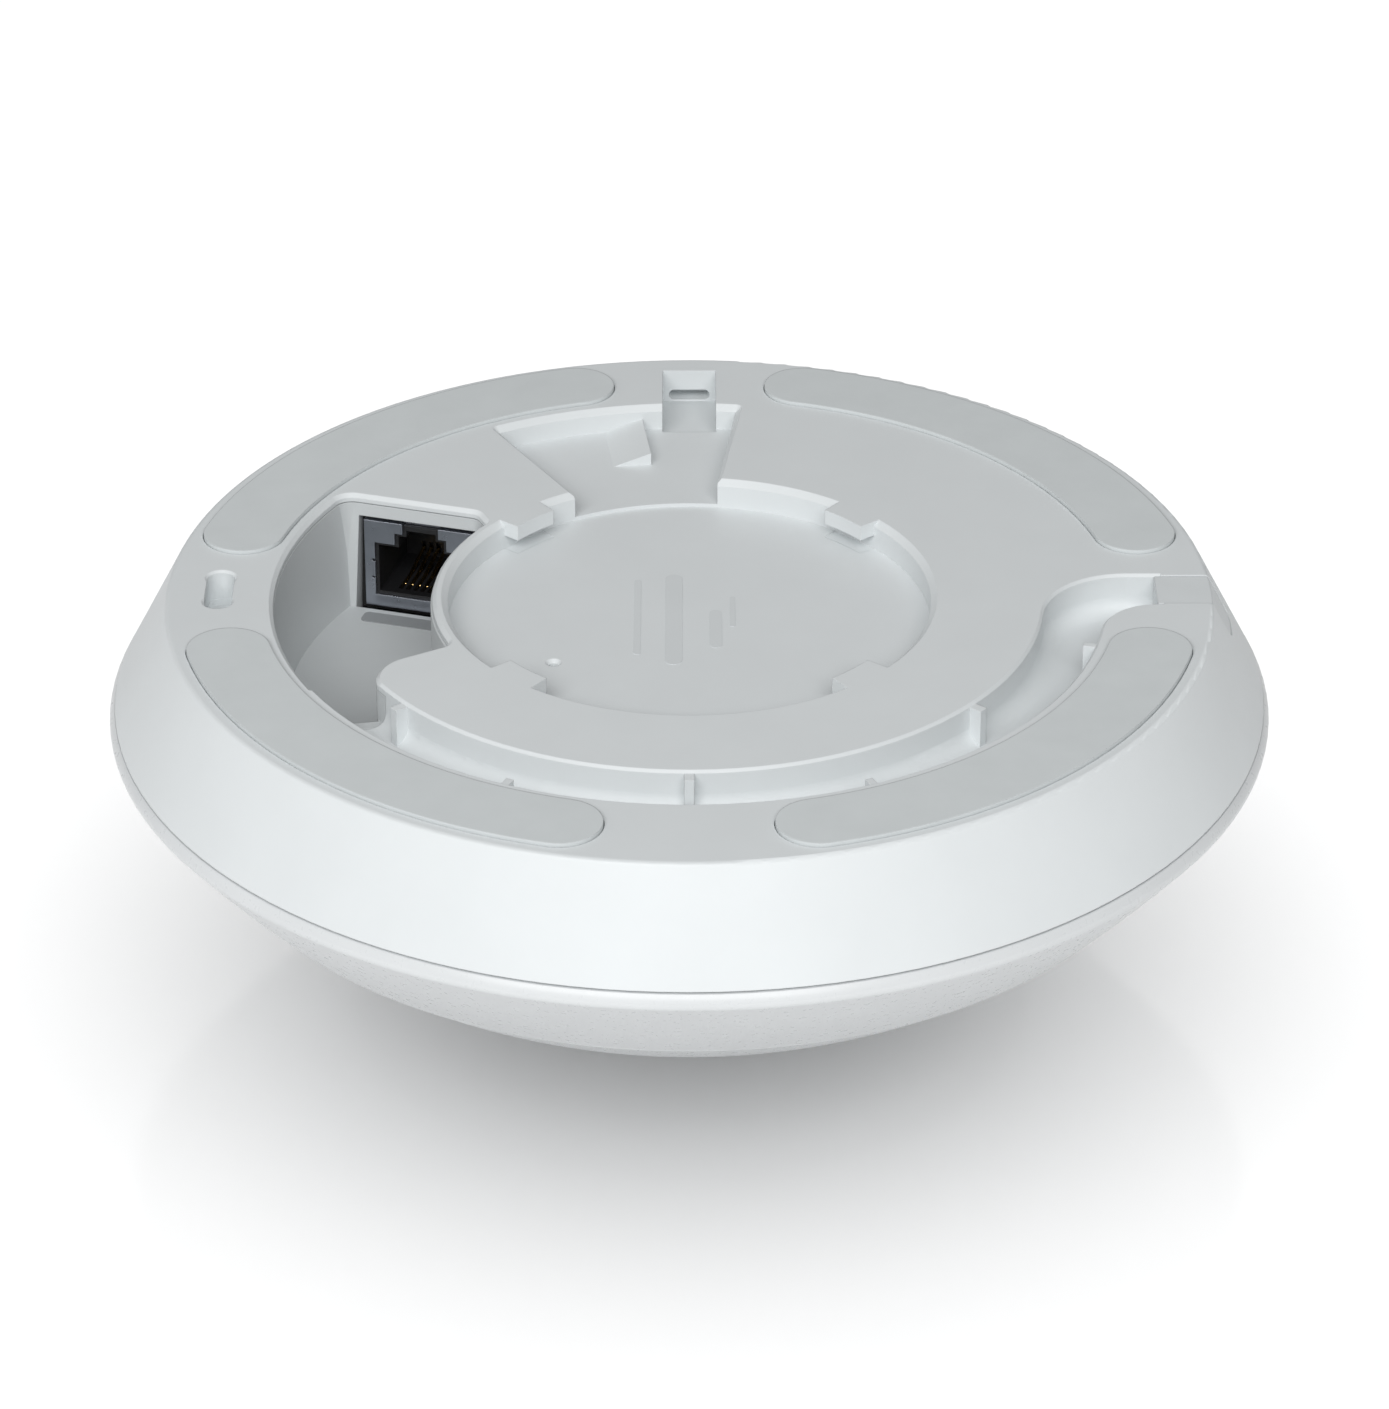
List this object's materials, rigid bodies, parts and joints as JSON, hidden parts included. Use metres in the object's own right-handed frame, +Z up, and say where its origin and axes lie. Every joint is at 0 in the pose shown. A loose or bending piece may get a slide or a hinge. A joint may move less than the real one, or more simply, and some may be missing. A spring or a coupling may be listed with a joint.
{
  "type": "ceiling network camera",
  "caption": "Round white ceiling network camera: back with bayonet recess, jack pocket, cable channel and rubber pads. Domed front read from a faint reflection, its lens window a guess.",
  "frame": {"origin": "centre of the back face, on the axis of the bayonet recess", "axes": "+Z up, out of the back face towards the ceiling; -Z is the way the lens looks; +X towards the cable exit"},
  "size_m": [0.15, 0.15, 0.052],
  "materials": {
    "housing_white": "fine satin",
    "front_white": "semi-gloss",
    "pad_rubber": "matt, soft",
    "plug_rubber": "matt",
    "tray_grey": "fine satin",
    "mark_grey": "matt",
    "jack_steel": "rolled sheet",
    "black_plastic": "moulded",
    "contact_gold": "plated",
    "ring_frosted": "frosted",
    "window_dark": "polished",
    "seal_black": "soft",
    "screw_steel": "machined",
    "board_green": "solder mask",
    "board_black": "solder mask",
    "chip_black": "moulded epoxy",
    "can_aluminium": "drawn can",
    "ferrite_grey": "sintered",
    "winding_copper": "enamelled wire",
    "cast_aluminium": "cast",
    "thermal_grey": "soft",
    "frame_grey": "moulded",
    "lens_glass": "coated",
    "sensor_glass": "polished",
    "flex_amber": "film",
    "light_chip": "moulded",
    "button_white": "moulded"
  },
  "bodies": {
    "camera": {"back_housing": "housing_white", "mount_pad_1": "pad_rubber", "mount_pad_2": "pad_rubber", "mount_pad_3": "pad_rubber", "mount_pad_4": "pad_rubber", "jack_tray": "tray_grey", "port_mark": "mark_grey", "jack_shield": "jack_steel", "jack_insulator": "black_plastic", "jack_contacts": "contact_gold", "jack_gasket": "seal_black", "front_housing": "front_white", "housing_seal": "seal_black", "housing_screws": "screw_steel", "front_cover": "front_white", "light_ring": "ring_frosted", "centre_cap": "front_white", "lens_window": "window_dark", "window_seal": "seal_black", "inner_frame": "frame_grey", "main_board": "board_green", "poe_capacitors": "can_aluminium", "poe_transformer": "ferrite_grey", "transformer_winding": "winding_copper", "power_inductors": "ferrite_grey", "network_magnetics": "chip_black", "processor": "chip_black", "memory_chips": "chip_black", "thermal_pad": "thermal_grey", "heat_spreader": "cast_aluminium", "board_screws": "screw_steel", "sensor_spacers": "can_aluminium", "sensor_board": "board_black", "sensor_screws": "screw_steel", "image_sensor": "sensor_glass", "lens_holder": "black_plastic", "lens_barrel": "black_plastic", "front_lens": "lens_glass", "inner_lenses": "lens_glass", "sensor_flex": "flex_amber", "flex_sockets": "black_plastic", "light_board": "board_black", "status_lights": "light_chip", "light_cable": "black_plastic", "microphones": "can_aluminium", "microphone_boards": "board_green", "reset_switch": "black_plastic"},
    "reset_button": {"reset_button": "button_white"},
    "exit_plug": {"cable_exit_plug": "plug_rubber"}
  },
  "joints": [
    {"name": "reset_press", "type": "slide", "parent": "camera", "child": "reset_button", "axis": [0, 0, -1], "range_m": [0, 0.00025], "stiffness_N_per_m": 3000},
    {"name": "exit_plug_pull", "type": "slide", "parent": "camera", "child": "exit_plug", "axis": [0, 0, 1], "range_m": [0, 0.008]}
  ]
}
